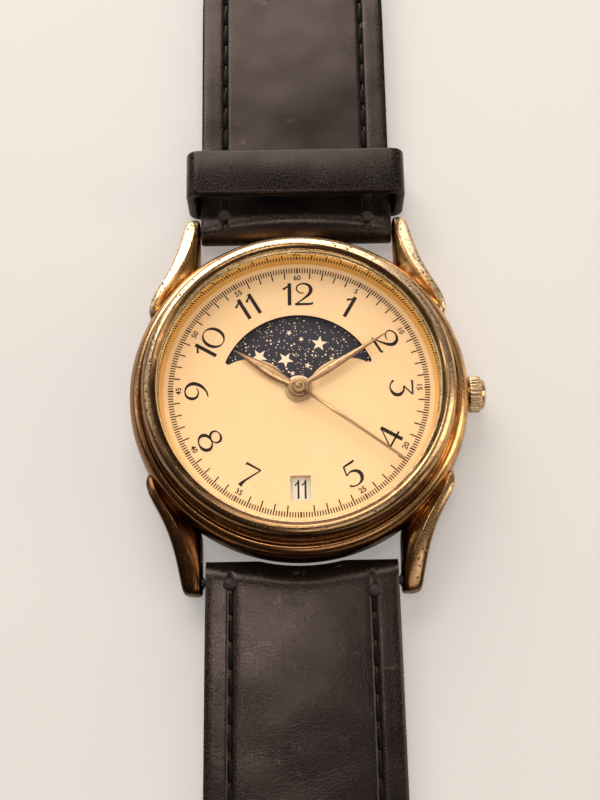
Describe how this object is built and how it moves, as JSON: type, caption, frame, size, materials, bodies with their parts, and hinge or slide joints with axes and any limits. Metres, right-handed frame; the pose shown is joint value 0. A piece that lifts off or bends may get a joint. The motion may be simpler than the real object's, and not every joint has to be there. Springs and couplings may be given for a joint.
{
  "type": "moon phase wristwatch",
  "caption": "Moon phase wristwatch with date window, scroll-lug gold-plated case, and black leather strap with keepers and pin buckle, laid open and flat.",
  "frame": {"origin": "middle of the case back's flat outer face, which lies on the surface that the watch rests on", "axes": "+Z out of the dial, +Y from the dial's centre to 12 o'clock along the strap, +X to the crown"},
  "size_m": [0.0356, 0.2323, 0.0088],
  "materials": {
    "gold_plate": "worn polished gold plating",
    "gold_polished": "polished gold plating",
    "case_back_steel": "satin",
    "crystal": "clear, flat, bevelled edge",
    "gasket": "matt",
    "dial_paint": "satin cream with black print",
    "moon_disc_paint": "satin navy with cream print",
    "date_ring_paint": "satin off-white with dark brown print",
    "brass": "satin",
    "steel": "polished",
    "battery_steel": "satin",
    "wheel_plastic": "natural",
    "copper_wire": "enamelled copper wire",
    "board": "green solder mask",
    "holder_plastic": "natural",
    "strap_leather": "smooth black, semi-gloss",
    "lining_leather": "black, matt"
  },
  "bodies": {
    "watch_case": {"case_middle": "gold_plate", "bezel": "gold_plate", "crown_tube": "gold_plate", "dial_flange": "gold_polished", "case_back": "case_back_steel", "crystal": "crystal", "crystal_gasket": "gasket", "case_back_gasket": "gasket", "dial": "dial_paint", "main_plate": "brass", "train_bridge": "brass", "stator": "steel", "coil_core": "steel", "movement_screws": "steel", "battery_clamp": "steel", "quartz_can": "steel", "spring_bar_12_tube": "steel", "spring_bar_12_spring": "steel", "spring_bar_6_tube": "steel", "spring_bar_6_spring": "steel", "moon_jumper": "steel", "battery": "battery_steel", "date_jumper": "wheel_plastic", "coil_winding": "copper_wire", "circuit_board": "board", "movement_holder": "holder_plastic"},
    "seconds": {"seconds_hand": "gold_polished", "seconds_wheel": "brass"},
    "third": {"third_wheel": "brass"},
    "centre": {"centre_wheel": "brass"},
    "fifth": {"fifth_wheel": "wheel_plastic"},
    "rotor": {"rotor": "wheel_plastic"},
    "minutes": {"minute_hand": "gold_polished", "cannon_pinion": "steel"},
    "minute_work": {"minute_wheel": "brass"},
    "hours": {"hour_hand": "gold_polished", "hour_wheel": "brass"},
    "calendar_driver": {"date_driver": "wheel_plastic"},
    "setting": {"setting_wheel": "brass"},
    "moon": {"moon_disc": "moon_disc_paint"},
    "date": {"date_ring": "date_ring_paint"},
    "crown_slide": {"crown_gasket": "gasket"},
    "crown_and_stem": {"crown": "gold_plate", "stem": "steel"},
    "clutch": {"sliding_pinion": "steel"},
    "setting_lever": {"setting_lever": "steel"},
    "yoke": {"yoke": "steel"},
    "tip_12_left": {"spring_bar_12_left_tip": "steel"},
    "tip_12_right": {"spring_bar_12_right_tip": "steel"},
    "tip_6_left": {"spring_bar_6_left_tip": "steel"},
    "tip_6_right": {"spring_bar_6_right_tip": "steel"},
    "short_strap": {"strap_short_outer": "strap_leather", "strap_short_lining": "lining_leather", "fixed_keeper": "strap_leather"},
    "long_strap": {"strap_long_outer": "strap_leather", "strap_long_lining": "lining_leather"},
    "floating_keeper": {"floating_keeper": "strap_leather"},
    "buckle": {"buckle_frame": "gold_plate", "buckle_bar": "gold_plate"},
    "tongue": {"buckle_tongue": "gold_plate"}
  },
  "joints": [
    {"name": "seconds_turn", "type": "hinge", "parent": "watch_case", "child": "seconds", "pos_m": [0, 0, 0.0064], "axis": [0, 0, -1], "continuous": true},
    {"name": "third_turn", "type": "hinge", "parent": "watch_case", "child": "third", "pos_m": [0.00105, -0.00288, 0.0022], "axis": [0, 0, -1], "continuous": true},
    {"name": "centre_turn", "type": "hinge", "parent": "watch_case", "child": "centre", "pos_m": [0, 0, 0.0026], "axis": [0, 0, -1], "continuous": true},
    {"name": "fifth_turn", "type": "hinge", "parent": "watch_case", "child": "fifth", "pos_m": [-0.00054, 0.00307, 0.00195], "axis": [0, 0, -1], "continuous": true},
    {"name": "rotor_turn", "type": "hinge", "parent": "watch_case", "child": "rotor", "pos_m": [-0.00018, 0.00514, 0.0022], "axis": [0, 0, -1], "continuous": true},
    {"name": "minute_turn", "type": "hinge", "parent": "watch_case", "child": "minutes", "pos_m": [0, 0, 0.006], "axis": [0, 0, -1], "continuous": true},
    {"name": "minute_work_turn", "type": "hinge", "parent": "watch_case", "child": "minute_work", "pos_m": [0.0024, 0, 0.0035], "axis": [0, 0, -1], "continuous": true},
    {"name": "hour_turn", "type": "hinge", "parent": "watch_case", "child": "hours", "pos_m": [0, 0, 0.0057], "axis": [0, 0, -1], "continuous": true},
    {"name": "calendar_turn", "type": "hinge", "parent": "watch_case", "child": "calendar_driver", "pos_m": [-0.00407, 0.00407, 0.0041], "axis": [0, 0, -1], "continuous": true},
    {"name": "setting_turn", "type": "hinge", "parent": "watch_case", "child": "setting", "pos_m": [0.0051, 0, 0.0035], "axis": [0, 0, -1], "continuous": true},
    {"name": "moon_turn", "type": "hinge", "parent": "watch_case", "child": "moon", "pos_m": [0, 0, 0.0045], "axis": [0, 0, -1], "continuous": true},
    {"name": "date_turn", "type": "hinge", "parent": "watch_case", "child": "date", "pos_m": [0, 0, 0.0045], "axis": [0, 0, -1], "continuous": true},
    {"name": "crown_pull", "type": "slide", "parent": "watch_case", "child": "crown_slide", "axis": [1, 0, 0], "range_m": [0, 0.0008]},
    {"name": "crown_turn", "type": "hinge", "parent": "crown_slide", "child": "crown_and_stem", "pos_m": [0.0174, 0, 0.0029], "axis": [1, 0, 0], "continuous": true},
    {"name": "clutch_slide", "type": "slide", "parent": "crown_and_stem", "child": "clutch", "axis": [1, 0, 0], "range_m": [-0.0014, 0]},
    {"name": "setting_lever_swing", "type": "hinge", "parent": "watch_case", "child": "setting_lever", "pos_m": [0.0103, -0.0022, 0.002], "axis": [0, 0, 1], "range_deg": [-21.4, 0]},
    {"name": "yoke_swing", "type": "hinge", "parent": "watch_case", "child": "yoke", "pos_m": [0.00755, 0.0024, 0.002], "axis": [0, 0, 1], "range_deg": [-14.6, 0]},
    {"name": "tip_12_left_press", "type": "slide", "parent": "watch_case", "child": "tip_12_left", "axis": [1, 0, 0], "range_m": [0, 0.00085], "stiffness_N_per_m": 1500, "deforming": ["spring_bar_12_spring"]},
    {"name": "tip_12_right_press", "type": "slide", "parent": "watch_case", "child": "tip_12_right", "axis": [-1, 0, 0], "range_m": [0, 0.00085], "stiffness_N_per_m": 1500},
    {"name": "tip_6_left_press", "type": "slide", "parent": "watch_case", "child": "tip_6_left", "axis": [1, 0, 0], "range_m": [0, 0.00085], "stiffness_N_per_m": 1500, "deforming": ["spring_bar_6_spring"]},
    {"name": "tip_6_right_press", "type": "slide", "parent": "watch_case", "child": "tip_6_right", "axis": [-1, 0, 0], "range_m": [0, 0.00085], "stiffness_N_per_m": 1500},
    {"name": "short_strap_swing", "type": "hinge", "parent": "watch_case", "child": "short_strap", "pos_m": [0, 0.0186, 0.0025], "axis": [1, 0, 0], "range_deg": [-85, 60]},
    {"name": "long_strap_swing", "type": "hinge", "parent": "watch_case", "child": "long_strap", "pos_m": [0, -0.0186, 0.0025], "axis": [-1, 0, 0], "range_deg": [-85, 60]},
    {"name": "keeper_slide", "type": "slide", "parent": "short_strap", "child": "floating_keeper", "axis": [0, 1, 0], "range_m": [-0.0004, 0.0528]},
    {"name": "buckle_swing", "type": "hinge", "parent": "short_strap", "child": "buckle", "pos_m": [0, 0.09, 0.0025], "axis": [1, 0, 0], "range_deg": [-45, 45]},
    {"name": "tongue_swing", "type": "hinge", "parent": "buckle", "child": "tongue", "pos_m": [0, 0.09, 0.0025], "axis": [1, 0, 0], "range_deg": [0, 90]}
  ],
  "couplings": [
    {"joint": "third_turn", "follows": "seconds_turn", "ratio": -0.13333},
    {"joint": "centre_turn", "follows": "seconds_turn", "ratio": 0.016667},
    {"joint": "fifth_turn", "follows": "seconds_turn", "ratio": -5},
    {"joint": "rotor_turn", "follows": "seconds_turn", "ratio": 30},
    {"joint": "minute_work_turn", "follows": "minute_turn", "ratio": -0.33333},
    {"joint": "hour_turn", "follows": "minute_turn", "ratio": 0.083333},
    {"joint": "calendar_turn", "follows": "minute_turn", "ratio": -0.041667},
    {"joint": "setting_turn", "follows": "minute_turn", "ratio": 0.66667},
    {"joint": "clutch_slide", "follows": "crown_pull", "ratio": -1.75},
    {"joint": "setting_lever_swing", "follows": "crown_pull", "rad_per_m": -465},
    {"joint": "yoke_swing", "follows": "crown_pull", "rad_per_m": -316}
  ]
}
